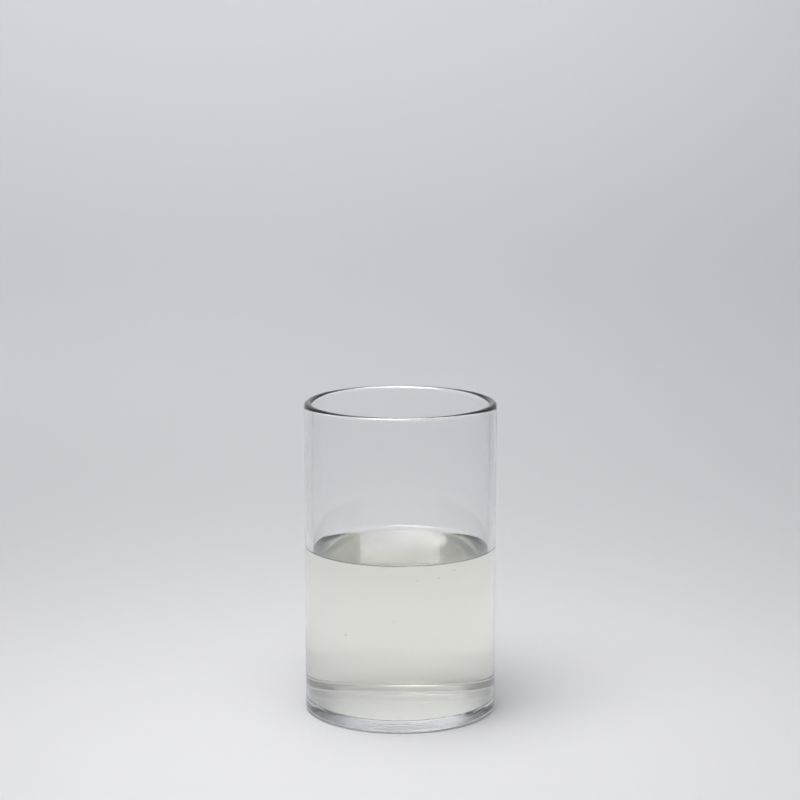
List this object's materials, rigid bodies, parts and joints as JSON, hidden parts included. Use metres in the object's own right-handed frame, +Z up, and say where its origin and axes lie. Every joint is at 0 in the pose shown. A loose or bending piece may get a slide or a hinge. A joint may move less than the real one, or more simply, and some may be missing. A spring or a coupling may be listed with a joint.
{
  "type": "glass cylinder vase",
  "caption": "Straight-sided round flower vase of clear, thick-walled glass, with a polished rim, a heavy flat base and a ring foot under a slightly hollowed underside.",
  "frame": {"origin": "centre of the underside, on the plane that the vase stands on", "axes": "+Z up along the vase's own axis, from the base to the open rim; the vase is round, so X and Y may point anywhere"},
  "size_m": [0.15, 0.15, 0.245],
  "materials": {
    "clear_glass": "polished, colourless, faintly grey-green where it is thick"
  },
  "bodies": {
    "root": {"glass_cylinder": "clear_glass"}
  },
  "joints": []
}
